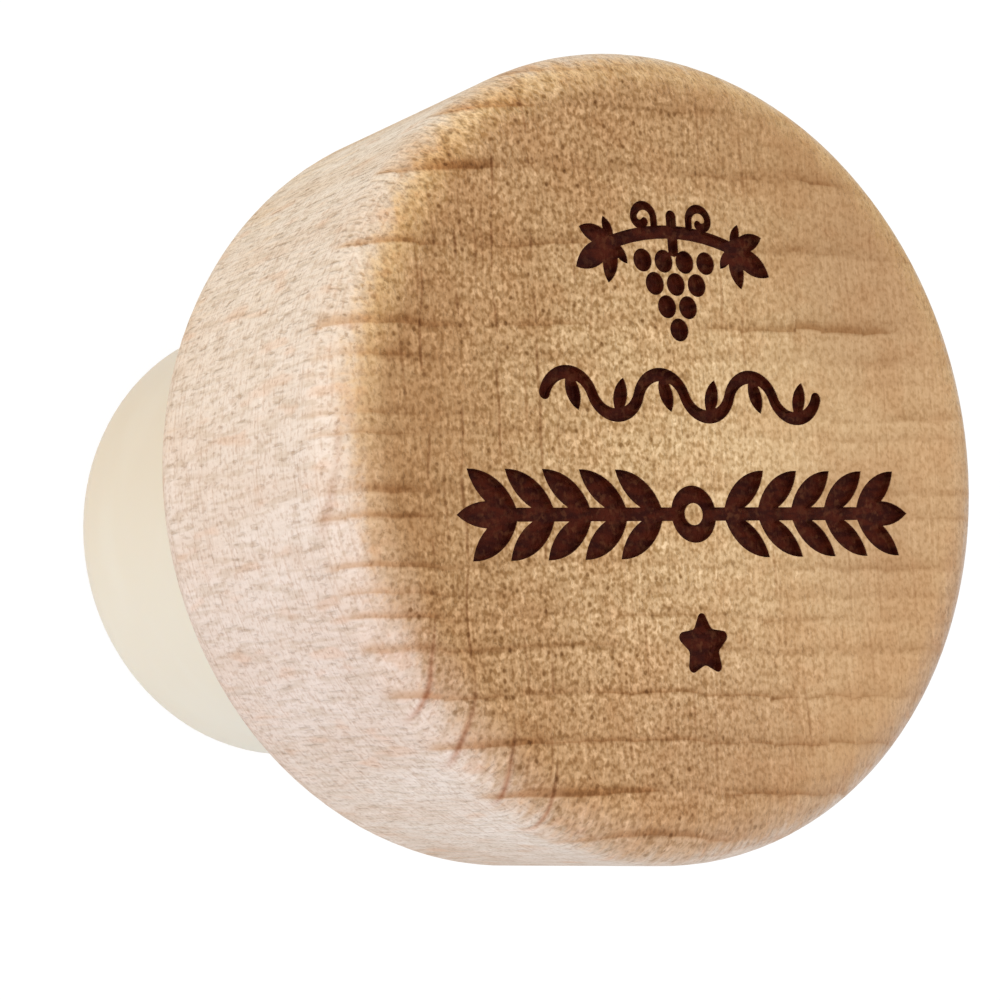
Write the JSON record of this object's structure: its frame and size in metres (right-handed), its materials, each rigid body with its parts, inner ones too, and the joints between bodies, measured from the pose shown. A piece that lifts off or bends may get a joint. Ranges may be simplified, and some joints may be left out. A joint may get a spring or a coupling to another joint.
{
  "type": "bottle stopper",
  "caption": "Turned wooden head, engraved on its end grain, on a plain moulded shank that plugs a bottle's neck.",
  "frame": {"origin": "on the axis, in the plane of the head's underside, where it seats on the bottle's lip", "axes": "+Z along the axis from the shank to the engraved face; +Y is up in the engraving, and +X runs to its right"},
  "size_m": [0.0316, 0.0316, 0.0323],
  "materials": {
    "beech_wood": "fine sanded, unvarnished beech; engraving burnt dark brown",
    "shank_elastomer": "smooth satin cream thermoplastic elastomer"
  },
  "bodies": {
    "root": {"wooden_head": "beech_wood", "stopper_shank": "shank_elastomer"}
  },
  "joints": []
}
